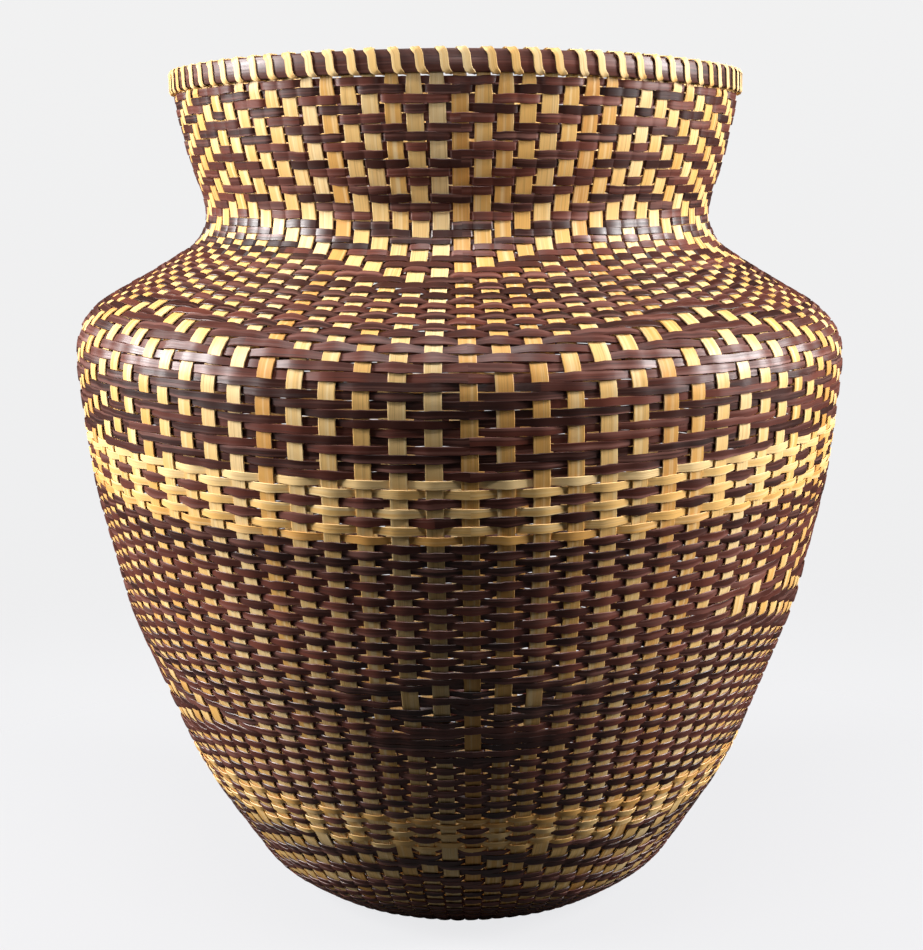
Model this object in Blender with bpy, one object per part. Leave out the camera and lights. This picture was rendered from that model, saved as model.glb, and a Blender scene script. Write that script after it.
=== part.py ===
"""Splint basket: flat base, wide belly, drawn-in neck and a lashed hoop rim.

Metres, +Z up, origin at the centre of the underside, front towards -Y. The stakes are long
splints that cross the base in two layers and run up both sides to the rim. The weft courses are
bands around them, each a ring with flat facets. Two stakes lie flat on each facet, so the clearance
between stake and weave is the same everywhere.
"""

import math

import bmesh
import bpy
from mathutils import Vector

# Splints
SPLINT_PAIRS = 11
SPLINT_WIDTH = 0.0090
SPLINT_THICKNESS = 0.0009
SPLINT_SIDE_CLEARANCE = 0.00036
STAKE_WIDTH_AT_RIM = 0.0068
STAKE_TIP_WIDTH = 0.0050
GRID_CORNER_INSET = 0.0060
STAKES_PER_FACET = 2

# Weave
WEAVE_THICKNESS = 0.0016
CLEARANCE = 0.0003

# Outline of the weave's outer face, from the base edge to the rim: run outwards, then rise
BASE_RADIUS = 0.100
HEEL_RUN = 0.0297
HEEL_RISE = 0.0205
FOOT_RUN = 0.0330
FOOT_RISE = 0.0513
LOWER_BAND_RUN = 0.0123
LOWER_BAND_RISE = 0.0230
LOWER_BODY_RUN = 0.0353
LOWER_BODY_RISE = 0.0908
UPPER_BODY_RUN = 0.0174
UPPER_BODY_RISE = 0.0766
UPPER_BAND_RUN = 0.0042
UPPER_BAND_RISE = 0.0345
BELLY_RUN = 0.0041
BELLY_RISE = 0.0416
CREST_RUN = -0.0020
CREST_RISE = 0.0164
BROW_RUN = -0.0116
BROW_RISE = 0.0144
SHOULDER_RUN = -0.0397
SHOULDER_RISE = 0.0225
COLLAR_RUN = -0.0245
COLLAR_RISE = 0.0154
WAIST_RUN = -0.0053
WAIST_RISE = 0.0174
THROAT_RUN = 0.0105
THROAT_RISE = 0.0340
NECK_RUN = 0.0079
NECK_RISE = 0.0402

# Rim
HOOP_HEIGHT = 0.0119
OUTER_HOOP_THICKNESS = 0.0026
INNER_HOOP_THICKNESS = 0.0026
HOOP_EDGE = 0.0012
LASHING_THICKNESS = 0.0008
LASHING_WIDTH = 0.0046
LASHING_SLANT_COLUMNS = 0.4

# Colours of the splints: linear red, green, blue
NATURAL_SPLINT = (0.62, 0.42, 0.20)
DYED_SPLINT = (0.075, 0.027, 0.022)
SPLINT_ROUGHNESS = 0.5
SMOOTH_ANGLE = math.radians(35)

SPLINTS_EACH_WAY = 2 * SPLINT_PAIRS
COLUMNS = 4 * SPLINTS_EACH_WAY
COLUMN_ANGLE = 2 * math.pi / COLUMNS
FACETS = COLUMNS // STAKES_PER_FACET
HALF_FACET = math.pi / FACETS
STAKE_DEPTH = WEAVE_THICKNESS + CLEARANCE
LASHING_SPACE = LASHING_THICKNESS + 2 * CLEARANCE

# Courses of the wall: name of the weft band, then the run and rise of each flat of its outline
COURSES = (
    ("foot_weave", ((FOOT_RUN, FOOT_RISE),), DYED_SPLINT),
    ("lower_natural_band", ((LOWER_BAND_RUN, LOWER_BAND_RISE),), NATURAL_SPLINT),
    ("lower_body_weave", ((LOWER_BODY_RUN, LOWER_BODY_RISE),), DYED_SPLINT),
    ("upper_body_weave", ((UPPER_BODY_RUN, UPPER_BODY_RISE),), DYED_SPLINT),
    ("upper_natural_band", ((UPPER_BAND_RUN, UPPER_BAND_RISE),), NATURAL_SPLINT),
    (
        "belly_weave",
        ((BELLY_RUN, BELLY_RISE), (CREST_RUN, CREST_RISE), (BROW_RUN, BROW_RISE)),
        DYED_SPLINT,
    ),
    ("shoulder_weave", ((SHOULDER_RUN, SHOULDER_RISE), (COLLAR_RUN, COLLAR_RISE)), DYED_SPLINT),
    (
        "neck_weave",
        ((WAIST_RUN, WAIST_RISE), (THROAT_RUN, THROAT_RISE), (NECK_RUN, NECK_RISE)),
        DYED_SPLINT,
    ),
)


def clear_scene():
    for old in list(bpy.data.objects):
        bpy.data.objects.remove(old, do_unlink=True)


def splint_material(name, colour):
    material = bpy.data.materials.new(name)
    material.use_nodes = True
    shader = material.node_tree.nodes["Principled BSDF"]
    shader.inputs["Base Color"].default_value = (*colour, 1.0)
    shader.inputs["Roughness"].default_value = SPLINT_ROUGHNESS
    shader.inputs["Metallic"].default_value = 0.0
    return material


def add_object(name, mesh_data, colour):
    bmesh.ops.recalc_face_normals(mesh_data, faces=mesh_data.faces)
    mesh = bpy.data.meshes.new(name)
    mesh_data.to_mesh(mesh)
    mesh_data.free()
    mesh.shade_smooth()
    mesh.set_sharp_from_angle(angle=SMOOTH_ANGLE)
    mesh.materials.append(splint_material(name + "_finish", colour))
    piece = bpy.data.objects.new(name, mesh)
    bpy.context.scene.collection.objects.link(piece)
    return piece


# Outline of the wall

def wall_outline():
    """Corner points (radius, height) of the weave's outer face, from the middle of the base up."""
    points = [Vector((0.0, 0.0)), Vector((BASE_RADIUS, 0.0))]
    points.append(points[-1] + Vector((HEEL_RUN, HEEL_RISE)))
    for _, flats, _ in COURSES:
        for run, rise in flats:
            points.append(points[-1] + Vector((run, rise)))
    return points


def outward(start, end):
    """Unit normal of a flat of the outline, pointing away from the inside of the basket."""
    along = (end - start).normalized()
    return Vector((along.y, -along.x))


def at_depth(points, index, depth):
    """Corner of the outline moved inwards, so that each flat keeps its depth below the surface."""
    before = outward(points[index - 1], points[index]) if index > 0 else None
    after = outward(points[index], points[index + 1]) if index < len(points) - 1 else None
    if before is None or after is None:
        normal = after if before is None else before
        return points[index] - normal * depth
    middle = (before + after).normalized()
    return points[index] - middle * (depth / middle.dot(before))


def band_section(points, first, last):
    """Closed section of a band between two corners of the outline, short of its neighbours."""
    outer = [points[i].copy() for i in range(first, last + 1)]
    inner = [at_depth(points, i, WEAVE_THICKNESS) for i in range(first, last + 1)]
    low = (points[first + 1] - points[first]).normalized() * (CLEARANCE / 2)
    high = (points[last] - points[last - 1]).normalized() * (CLEARANCE / 2)
    for line in (outer, inner):
        line[0] += low
        line[-1] -= high
    return outer + inner[::-1]


# Rings with flat facets

def facet_corner(facet, apothem, height):
    """Point on the edge between this facet and the next."""
    angle = (2 * facet + 1) * HALF_FACET
    radius = apothem / math.cos(HALF_FACET)
    return (radius * math.sin(angle), -radius * math.cos(angle), height)


def add_ring(name, section, colour):
    """Ring around the basket's axis from a closed section of (distance to the flats, height)."""
    ring = bmesh.new()
    rows = []
    for facet in range(FACETS):
        rows.append([ring.verts.new(facet_corner(facet, p[0], p[1])) for p in section])
    for facet in range(FACETS):
        here, there = rows[facet], rows[(facet + 1) % FACETS]
        for i in range(len(section)):
            j = (i + 1) % len(section)
            ring.faces.new((here[i], here[j], there[j], there[i]))
    return add_object(name, ring, colour)


def add_base_weave(points):
    """Floor of the basket with the sloping heel around it."""
    rise = (points[2] - points[1]).normalized() * (CLEARANCE / 2)
    floor_edge = at_depth(points, 1, WEAVE_THICKNESS)
    outline = [points[1], points[2] - rise, at_depth(points, 2, WEAVE_THICKNESS) - rise, floor_edge]
    dish = bmesh.new()
    rows = []
    for facet in range(FACETS):
        rows.append([dish.verts.new(facet_corner(facet, p[0], p[1])) for p in outline])
    for facet in range(FACETS):
        here, there = rows[facet], rows[(facet + 1) % FACETS]
        for i in range(len(outline) - 1):
            dish.faces.new((here[i], here[i + 1], there[i + 1], there[i]))
    dish.faces.new([row[0] for row in rows])
    dish.faces.new([row[-1] for row in rows])
    return add_object("base_weave", dish, DYED_SPLINT)


def add_weft_bands(points):
    add_base_weave(points)
    corner = 2
    for name, flats, colour in COURSES:
        add_ring(name, band_section(points, corner, corner + len(flats)), colour)
        corner += len(flats)


# Stakes

def fitted_width(width, pitch):
    """A splint keeps its width unless its neighbours crowd it."""
    return min(width, pitch - SPLINT_SIDE_CLEARANCE)


def cross_section(centre_low, centre_high, across, width):
    """Four corners of a splint: its outer face, then its inner face."""
    half = across * (width / 2)
    return [centre_low - half, centre_low + half, centre_high + half, centre_high - half]


def base_station(place, depth):
    """Where the splint's flat run ends, past its last crossing and with all its width on the flat."""
    flat_radius = BASE_RADIUS - STAKE_DEPTH - 2 * SPLINT_THICKNESS
    grid_half_side = flat_radius / math.sqrt(2) - GRID_CORNER_INSET
    pitch = grid_half_side / (SPLINT_PAIRS - 0.5)
    offset = place * pitch
    width = fitted_width(SPLINT_WIDTH, pitch)
    reach = math.sqrt(flat_radius**2 - (abs(offset) + width / 2) ** 2)
    low = Vector((offset, -reach, depth))
    high = Vector((offset, -reach, depth + SPLINT_THICKNESS))
    return cross_section(low, high, Vector((1.0, 0.0, 0.0)), width)


def wall_station(place, low, high, full_width):
    """Corners of a stake on its facet, where low and high are (distance to the flat, height)."""
    facet = round(place / STAKES_PER_FACET)
    side = 1 if place > STAKES_PER_FACET * facet else -1
    angle = 2 * facet * HALF_FACET
    out = Vector((math.sin(angle), -math.cos(angle), 0.0))
    across = Vector((math.cos(angle), math.sin(angle), 0.0))
    shift = (low[0] + high[0]) / 2 * math.tan(COLUMN_ANGLE / 2)
    width = fitted_width(full_width, 2 * shift)
    corners = []
    for distance, height in (low, high):
        corners.append(out * distance + across * (side * shift) + Vector((0.0, 0.0, height)))
    return cross_section(corners[0], corners[1], across, width)


def half_stake(points, place, base_rise):
    """Stations of a splint from the base to its tip in the front rim."""
    stations = [base_station(place, STAKE_DEPTH + base_rise)]
    last = len(points) - 1
    for corner in range(2, last + 1):
        low = at_depth(points, corner, STAKE_DEPTH)
        high = at_depth(points, corner, STAKE_DEPTH + SPLINT_THICKNESS)
        width = STAKE_WIDTH_AT_RIM if corner == last else SPLINT_WIDTH
        stations.append(wall_station(place, low, high, width))
    tip = points[last].y + LASHING_SPACE + HOOP_HEIGHT - HOOP_EDGE
    stations.append(wall_station(place, (low.x, tip), (high.x, tip), STAKE_TIP_WIDTH))
    return stations


def mirrored(station):
    return [Vector((p.x, -p.y, p.z)) for p in station]


def quarter_turned(station):
    return [Vector((-p.y, p.x, p.z)) for p in station]


def add_strip(name, stations, colour, closed=False):
    """Solid strip through a row of four-cornered stations."""
    strip = bmesh.new()
    rows = [[strip.verts.new(p) for p in station] for station in stations]
    pairs = list(zip(rows, rows[1:]))
    if closed:
        pairs.append((rows[-1], rows[0]))
    else:
        strip.faces.new(rows[0])
        strip.faces.new(rows[-1][::-1])
    for here, there in pairs:
        for i in range(4):
            j = (i + 1) % 4
            strip.faces.new((here[i], here[j], there[j], there[i]))
    return add_object(name, strip, colour)


def add_stakes(points):
    middle = (SPLINTS_EACH_WAY - 1) / 2
    upper_layer = SPLINT_THICKNESS + CLEARANCE
    for i in range(SPLINTS_EACH_WAY):
        front = half_stake(points, i - middle, 0.0)
        whole = [mirrored(s) for s in reversed(front)] + front
        add_strip(f"stake_lengthwise_{i + 1:02d}", whole, NATURAL_SPLINT)
        side = half_stake(points, i - middle, upper_layer)
        whole = [mirrored(s) for s in reversed(side)] + side
        turned = [quarter_turned(s) for s in whole]
        add_strip(f"stake_crosswise_{i + 1:02d}", turned, NATURAL_SPLINT)


# Rim

def hoop_faces(points):
    """Distances from the axis to the flats: stake faces, then the hoops' far faces."""
    last = len(points) - 1
    stake_outside = at_depth(points, last, STAKE_DEPTH).x
    stake_inside = at_depth(points, last, STAKE_DEPTH + SPLINT_THICKNESS).x
    outer_near = stake_outside + CLEARANCE
    inner_near = stake_inside - CLEARANCE
    return outer_near, outer_near + OUTER_HOOP_THICKNESS, inner_near, inner_near - INNER_HOOP_THICKNESS


def hoop_section(near, far, bottom):
    """Flat-backed hoop whose far side is rounded off at the top and the bottom."""
    edge = math.copysign(HOOP_EDGE, far - near)
    top = bottom + HOOP_HEIGHT
    return [
        (near, bottom),
        (far - edge, bottom),
        (far, bottom + HOOP_EDGE),
        (far, top - HOOP_EDGE),
        (far - edge, top),
        (near, top),
    ]


def add_rim(points):
    outer_near, outer_far, inner_near, inner_far = hoop_faces(points)
    bottom = points[-1].y + LASHING_SPACE
    add_ring("rim_outer_hoop", hoop_section(outer_near, outer_far, bottom), DYED_SPLINT)
    add_ring("rim_inner_hoop", hoop_section(inner_near, inner_far, bottom), DYED_SPLINT)
    add_lashing(outer_far / math.cos(HALF_FACET), inner_far, bottom)


def lashing_station(column, radii, heights):
    """Corners where the strip turns an edge of the hoops: near face, then far face."""
    angle = column * COLUMN_ANGLE
    out = Vector((math.sin(angle), -math.cos(angle), 0.0))
    across = Vector((math.cos(angle), math.sin(angle), 0.0))
    near = out * radii[0] + Vector((0.0, 0.0, heights[0]))
    far = out * radii[1] + Vector((0.0, 0.0, heights[1]))
    return cross_section(near, far, across, LASHING_WIDTH)


def add_lashing(outer_radius, inner_radius, bottom):
    """One strip wound right round the rim, passing between the stakes below the hoops."""
    top = bottom + HOOP_HEIGHT
    outside = (outer_radius + CLEARANCE, outer_radius + CLEARANCE + LASHING_THICKNESS)
    inside = (inner_radius - CLEARANCE, inner_radius - CLEARANCE - LASHING_THICKNESS)
    below = (bottom - CLEARANCE, bottom - CLEARANCE - LASHING_THICKNESS)
    above = (top + CLEARANCE, top + CLEARANCE + LASHING_THICKNESS)
    stations = []
    for column in range(COLUMNS):
        top_place = column + 1 - LASHING_SLANT_COLUMNS
        stations.append(lashing_station(column, outside, below))
        stations.append(lashing_station(column, inside, below))
        stations.append(lashing_station(top_place, inside, above))
        stations.append(lashing_station(top_place, outside, above))
    add_strip("rim_lashing", stations, NATURAL_SPLINT, closed=True)


def main():
    clear_scene()
    points = wall_outline()
    add_weft_bands(points)
    add_stakes(points)
    add_rim(points)


main()
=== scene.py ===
# Woven splint basket. Every weft row, stake and hoop is its own thin strip and the lashing is one
# long strip. Wefts and stakes pass over and under each other on a smooth wall that follows the
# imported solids.

import math

import bpy
import numpy as np
from mathutils import Matrix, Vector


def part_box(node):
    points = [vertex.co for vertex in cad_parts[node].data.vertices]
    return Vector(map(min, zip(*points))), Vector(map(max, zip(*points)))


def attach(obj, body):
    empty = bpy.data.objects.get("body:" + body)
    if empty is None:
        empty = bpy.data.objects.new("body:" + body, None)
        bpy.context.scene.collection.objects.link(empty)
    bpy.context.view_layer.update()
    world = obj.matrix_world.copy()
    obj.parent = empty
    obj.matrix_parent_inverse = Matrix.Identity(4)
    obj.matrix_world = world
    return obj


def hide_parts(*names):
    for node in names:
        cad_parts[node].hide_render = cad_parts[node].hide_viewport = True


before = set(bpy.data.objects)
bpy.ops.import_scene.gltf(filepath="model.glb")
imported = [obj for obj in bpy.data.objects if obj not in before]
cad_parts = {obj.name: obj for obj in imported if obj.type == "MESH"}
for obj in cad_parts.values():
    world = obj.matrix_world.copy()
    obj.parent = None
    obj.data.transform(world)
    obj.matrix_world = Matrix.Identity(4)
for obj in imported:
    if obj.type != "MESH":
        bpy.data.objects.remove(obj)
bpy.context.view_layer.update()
MM = 0.001

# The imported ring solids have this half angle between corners
HALF_FACET = math.pi / 44

# Layout of the weave: a column is one stake end. The neck's rows run on over shoulder and belly.
COLUMNS = 88
COLUMN = 2 * math.pi / COLUMNS
SPLINTS_EACH_WAY = 22
NECK_ROWS = 52
BAND_ROWS = 7
BODY_ROWS = 42
FOOT_ROWS = 27
LARGEST_PITCH = 5.0 * MM

# Arc below the weave's top at the front, in millimetres, of the middle of these rows counted from the rim
ROW_PLACES = (
    (0, 2.3),
    (1, 6.9),
    (2, 11.7),
    (3, 16.9),
    (4.5, 24.6),
    (8.5, 43.8),
    (12.5, 63.1),
    (16.5, 81.8),
    (20.5, 97.0),
    (24.5, 115.2),
    (28, 131.8),
    (32, 149.6),
    (36, 169.5),
    (40, 191.1),
    (43.5, 207.7),
    (51, 241.8),
    (52, 246.3),
    (58, 276.1),
    (59, 280.7),
    (63, 297.8),
    (70, 329.3),
    (80, 370.4),
    (89, 407.2),
    (100, 452.4),
    (101, 456.6),
    (107, 480.3),
    (108, 483.7),
    (112.5, 503.6),
    (116, 516.8),
    (122, 538.8),
    (134, 577.0),
)

# Rows lie higher at the sides than at the front: rise by arc below the weave's top, in millimetres
BOW_ARCS = (190.0, 246.0, 280.0, 460.0, 510.0, 575.0)
BOW_RISES = (0.0, 7.0, 11.0, 13.0, 11.0, 0.0)

# Stakes stand wider apart at the front and back: shift at 45 degrees, in columns, by height
SPREAD_HEIGHTS = (0.10, 0.25, 0.34, 0.41)
SPREAD_SHIFTS = (1.0, 0.9, 0.6, 0.0)

# The photographed basket's shoulder and rim rise a little to its left: heights and slopes
LEAN_HEIGHTS = (0.30, 0.365, 0.43, 0.50)
LEAN_SLOPES = (0.0, 0.020, 0.014, 0.012)

# Its rim sags towards both sides: drop over the square of the distance from the middle
SAG_HEIGHTS = (0.43, 0.50)
SAG_SHARES = (0.0, 0.19)

# Splints
WEFT_WIDTH = 4.8 * MM
WEFT_THICKNESS = 0.8 * MM
STAKE_WIDTH = 9.1 * MM
STAKE_THICKNESS = 0.9 * MM
WALL_DEPTH = 1.6 * MM

# How far a weft stands off the middle of the wall. Crest: at a stake. Shoulder: where it starts to
# change sides, and between two stakes where it stays on one side. Bulge: added on the way between
# them. The share by which all of it varies from stake to stake comes last.
WEFT_CREST = 1.25 * MM
WEFT_SHOULDER = 0.80 * MM
WEFT_BULGE = 0.12 * MM
UNEVEN_CREST = 0.12

# Where a weft bends: this far beside a stake's edge, never past this share of the way to the next
# stake, and once more at this share of that distance
STAKE_CLEARANCE = 0.3 * MM
FARTHEST_EDGE = 0.42
INSIDE_EDGE = 0.55

# Half a weft's width over a stake, in row pitches: on the side of a row that is in front there too,
# where both neighbours are behind in dyed rows, and elsewhere
HALF_BESIDE_WEFT = 0.50
HALF_BETWEEN_STAKES = 0.64
HALF_IN_TWILL = 0.53

# Its width in row pitches under a stake, and between two stakes where it changes sides or doesn't
WIDTH_UNDER = 0.84
WIDTH_TURNING = 0.91
WIDTH_FLOATING = 0.98

# Shares of the width and shift at a stake that are kept just inside its edge and at its edge
WIDTH_KEPT_INSIDE = 0.82
WIDTH_KEPT_AT_EDGE = 0.45
SHIFT_KEPT_INSIDE = 0.8
SHIFT_KEPT_AT_EDGE = 0.4

# Uneven rows, in row pitches and as a share of the width, and columns between a row's two joints
SLOW_DRIFT = 0.08
STAKE_TO_STAKE_DRIFT = 0.03
UNEVEN_WIDTH = 0.035
JOINT_COLUMNS = (30, 58)

# Stakes: lift out or in beside a weft, a little more inwards, the tip's place between the hoops and
# its taper, sideways wander, and room left beside each stake
STAKE_LIFT = 0.28 * MM
STAKE_TUCK = 0.05 * MM
TIP_DEPTH = 0.75 * MM
TIP_BELOW_RIM_TOP = 0.4 * MM
TIP_BOTTOM = 2.0 * MM
TIP_STATIONS = 5
TIP_TAPER_ARCS = (-14 * MM, -2 * MM, 10 * MM)
TIP_TAPER_WIDTHS = (0.60, 0.76, 1.0)
STAKE_WANDER = 0.25 * MM
ROOM_BESIDE_STAKE = 0.6 * MM

# Floor: distance from the middle within which stakes are straight, lift at a crossing, half a
# crossing in stake pitches, room between stakes, and the short filling splints outside their square
STRAIGHT_FROM = 86 * MM
BASE_LIFT = 0.55 * MM
HALF_CROSSING = 0.3
ROOM_ON_FLOOR = 0.25 * MM
FILLER_STEP = 4.9 * MM
FILLER_WIDTH = 0.94 * FILLER_STEP
FILLER_RING = 96 * MM
FILLER_GAP = 0.3 * MM

# Rim: uneven hoops, and the lashing's size, distance from the hoops, corners, points per turn,
# uneven spacing, and progress to the next gap (slants) by share of a turn (slant at)
HOOP_WANDER = 0.2 * MM
HOOP_SWAY = 0.3 * MM
LASHING_WIDTH = 4.6 * MM
LASHING_WIDTH_BELOW = 0.85
LASHING_THICKNESS = 0.8 * MM
LASHING_CLEARANCE = 0.55 * MM
LASHING_SQUARENESS = 6.0
LASHING_STEPS = 26
LASHING_WANDER = 0.06
SLANT_AT = (0.0, 0.1, 0.4, 0.6, 0.9, 1.0)
SLANTS = (0.0, 0.0, 0.6, 0.6, 1.0, 1.0)

# Cross sections, as shares of half the width and half the thickness
WEFT_SECTION = np.array([(-1, 0.1), (-0.90, 1), (0.90, 1), (1, 0.1), (0, -1)])
STAKE_SECTION = np.array(
    [(-1, -0.5), (-1, 0.5), (-0.94, 1), (0.94, 1), (1, 0.5), (1, -0.5), (0.94, -1), (-0.94, -1)]
)

# Baking: each fold of a strip gets a shelf of the square, with a gap above and below and at its ends
GIRTH_PER_WIDTH = 2.2
SHELF_GAP = 0.05
SHELF_USED = 0.9
END_GAP = 0.004
END_USED = 0.992

WALL_NODES = (
    "neck_weave",
    "shoulder_weave",
    "belly_weave",
    "upper_natural_band",
    "upper_body_weave",
    "lower_body_weave",
    "lower_natural_band",
    "foot_weave",
    "base_weave",
)
rng = np.random.default_rng(11)


# The wall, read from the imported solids

def node_points(name):
    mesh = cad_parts[name].data
    points = np.empty(len(mesh.vertices) * 3)
    mesh.vertices.foreach_get("co", points)
    return points.reshape(-1, 3)


def outer_corners(name):
    """Corners (distance to the flats, height) of the outer face of a ring-shaped solid."""
    points = node_points(name)
    flats = np.hypot(points[:, 0], points[:, 1]) * math.cos(HALF_FACET)
    corners = []
    for corner in np.stack([flats, points[:, 2]], 1):
        if all(np.hypot(*(corner - other)) > 0.2 * MM for other in corners):
            corners.append(corner)
    outer = []
    for corner in corners:
        gaps = [np.hypot(*(corner - other)) for other in corners]
        partner = corners[np.argsort(gaps)[1]]
        if corner[0] > partner[0]:
            outer.append(corner)
    return outer


def wall_line():
    """Smoothed line of the weave's outer face from above the rim to the middle of the floor."""
    corners = sorted((c for n in WALL_NODES for c in outer_corners(n)), key=lambda c: -c[1])
    above_rim = np.array((0.0, 40 * MM))
    line = [corners[0] + above_rim, corners[0]]
    for corner in corners[1:]:
        if np.hypot(*(corner - line[-1])) > 1.0 * MM:
            line.append(corner)
    line.append(np.array((0.0, line[-1][1])))
    line = np.array(line)
    steps = np.concatenate([[0], np.cumsum(np.hypot(*np.diff(line, axis=0).T))])
    even = np.arange(0, steps[-1], 0.5 * MM)
    fine = np.stack([np.interp(even, steps, line[:, k]) for k in (0, 1)], 1)
    reach, softness = 40, 13.0
    weights = np.exp(-0.5 * (np.arange(-reach, reach + 1) / softness) ** 2)
    weights /= weights.sum()
    padded = np.pad(fine, ((reach, reach), (0, 0)), mode="reflect", reflect_type="odd")
    soft = np.stack([np.convolve(padded[:, k], weights, "valid") for k in (0, 1)], 1)
    return soft, corners[0][1]


LINE, WEAVE_TOP = wall_line()
ARC = np.concatenate([[0], np.cumsum(np.hypot(*np.diff(LINE, axis=0).T))])
ARC -= np.interp(-WEAVE_TOP, -LINE[:, 1], ARC)
SLOPE = np.gradient(LINE, ARC, axis=0)
SLOPE /= np.hypot(SLOPE[:, 0], SLOPE[:, 1])[:, None]


def row_rise(arc):
    """How far a row lies higher at the sides than at the front."""
    return np.interp(arc, np.array(BOW_ARCS) * MM, np.array(BOW_RISES) * MM)


def stake_shift(arc):
    """Turn of a stake at 45 degrees from the front away from its even place."""
    height = np.interp(arc, ARC, LINE[:, 1])
    return np.interp(height, SPREAD_HEIGHTS, SPREAD_SHIFTS) * COLUMN


def row_closeness(arc, angle):
    """Distance between rows here over their distance at the front."""
    step = 2 * MM
    return 1 - (row_rise(arc + step) - row_rise(arc - step)) / (2 * step) * np.sin(angle) ** 2


def stake_closeness(arc, angle):
    """Distance between stakes here over the even distance."""
    return 1 + 2 * stake_shift(arc) * np.cos(2 * angle)


def wall_frame(arc, angle):
    """Points on the outer face and outward normals at this arc below the weave's top."""
    even_arc, even_angle = arc, angle
    arc = even_arc - row_rise(even_arc) * np.sin(even_angle) ** 2
    angle = even_angle + stake_shift(even_arc) * np.sin(2 * even_angle)
    radius = np.interp(arc, ARC, LINE[:, 0])
    height = np.interp(arc, ARC, LINE[:, 1])
    run = np.interp(arc, ARC, SLOPE[:, 0])
    fall = np.interp(arc, ARC, SLOPE[:, 1])
    length = np.hypot(run, fall)
    out, up = -fall / length, run / length
    points = np.stack([radius * np.sin(angle), -radius * np.cos(angle), height], -1)
    normals = np.stack([out * np.sin(angle), -out * np.cos(angle), up], -1)
    return points, normals


# The pattern: which weft passes over which stake

# Chevrons meet at every V_REPEAT columns, and the neck's twill has a plain zone in it
V_COLUMN = -2
V_REPEAT = 22
PLAIN_FROM = 26
PLAIN_TO = 43
FOOT_TWILL_ROWS = 8

# Diamonds of nested rings: middle column, middle row and outermost ring where stakes show
RING_DIAMONDS = ((21, 13, 12), (-22, 30, 12), (0, 21, 3), (44, 21, 3))
RING_BORDER = 2

# Under each small diamond, a patch of weft floats, and the rows where the stake down its middle shows
PATCH_MIDDLES = (0, 44)
PATCH_ROW = 28
PATCH_REACH = 3
MIDDLE_FROM = 16
MIDDLE_TO = 31
MIDDLE_SHOWN = (18, 19, 24, 25, 27, 28, 29)


def column_places():
    """Number of each column counted from the front, running from -44 to 43."""
    return (np.arange(COLUMNS) + COLUMNS // 2) % COLUMNS - COLUMNS // 2


def from_v_column(columns):
    """Columns from the nearest line where chevrons meet."""
    half = V_REPEAT // 2
    return np.abs((columns - V_COLUMN + half) % V_REPEAT - half)


def neck_rows_over(columns):
    """True where the weft is in front. Twill, a plain zone and twill again, meeting in chevrons."""
    rows = np.arange(NECK_ROWS)[:, None]
    u = rows + from_v_column(columns)[None, :]
    plain = (u % 2 == 0) & (u >= PLAIN_FROM + 2) & (u <= PLAIN_TO - 3)
    stake = np.where(u < PLAIN_FROM, u % 4 < 2, np.where(u < PLAIN_TO, plain, (u - PLAIN_TO) % 4 < 2))
    return ~stake


def band_rows_over(columns):
    """Plain weave of the natural bands."""
    return (np.arange(BAND_ROWS)[:, None] + columns) % 2 == 1


def columns_from(columns, middle):
    """Columns to one side of a middle, counted the shorter way round."""
    return (columns - middle + COLUMNS // 2) % COLUMNS - COLUMNS // 2


def body_rows_over(columns):
    """Plain weave with the diamonds and patches laid over it."""
    rows = np.arange(BODY_ROWS)[:, None]
    stake = (rows + columns) % 2 == 1
    for middle, centre, outermost in RING_DIAMONDS:
        ring = np.abs(rows - centre) + np.abs(columns_from(columns, middle))[None, :]
        shown = (ring <= outermost) & ((outermost - ring) % 4 < 2)
        stake = np.where(ring <= outermost + RING_BORDER, shown, stake)
    for middle in PATCH_MIDDLES:
        side = np.abs(columns_from(columns, middle))[None, :]
        stake = np.where(side + np.abs(rows - PATCH_ROW) <= PATCH_REACH, False, stake)
        beside = (side == 0) & (rows >= MIDDLE_FROM) & (rows <= MIDDLE_TO)
        stake = np.where(beside, np.isin(rows, MIDDLE_SHOWN), stake)
    return ~stake


def foot_rows_over(columns):
    """A few rows of twill that meet in chevrons, then plain weave."""
    rows = np.arange(FOOT_ROWS)[:, None]
    u = rows - from_v_column(columns)[None, :] + 1
    stake = np.where(u < FOOT_TWILL_ROWS, u % 4 < 2, u % 2 == 0)
    return ~stake


def all_rows():
    """Arc, pitch, dyed or not, and the crossings of each row, from the rim down."""
    columns = column_places()
    natural = (False, False, True, False, True, False, False)
    zones = (
        (neck_rows_over(columns), (True,) * NECK_ROWS),
        (band_rows_over(columns), natural),
        (body_rows_over(columns), (True,) * BODY_ROWS),
        (~band_rows_over(columns), natural),
        (foot_rows_over(columns), (True,) * FOOT_ROWS),
    )
    over = np.concatenate([crossings for crossings, _ in zones])
    dyed = [kind for _, kinds in zones for kind in kinds]
    count = len(over)
    known = np.array(ROW_PLACES)
    arcs = np.interp(np.arange(count), known[:, 0], known[:, 1]) * MM
    edges = np.concatenate([[0.0], (arcs[1:] + arcs[:-1]) / 2, [1.5 * arcs[-1] - 0.5 * arcs[-2]]])
    rows = []
    for k in range(count):
        rows.append(
            {
                "arc": arcs[k],
                "pitch": min(edges[k + 1] - edges[k], LARGEST_PITCH),
                "dyed": dyed[k],
                "over": over[k],
            }
        )
    return rows


ROWS = all_rows()
OVER = np.array([row["over"] for row in ROWS])
ROW_ARCS = np.array([row["arc"] for row in ROWS])


# Strips

def unit(vectors):
    return vectors / np.linalg.norm(vectors, axis=-1, keepdims=True)


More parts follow.
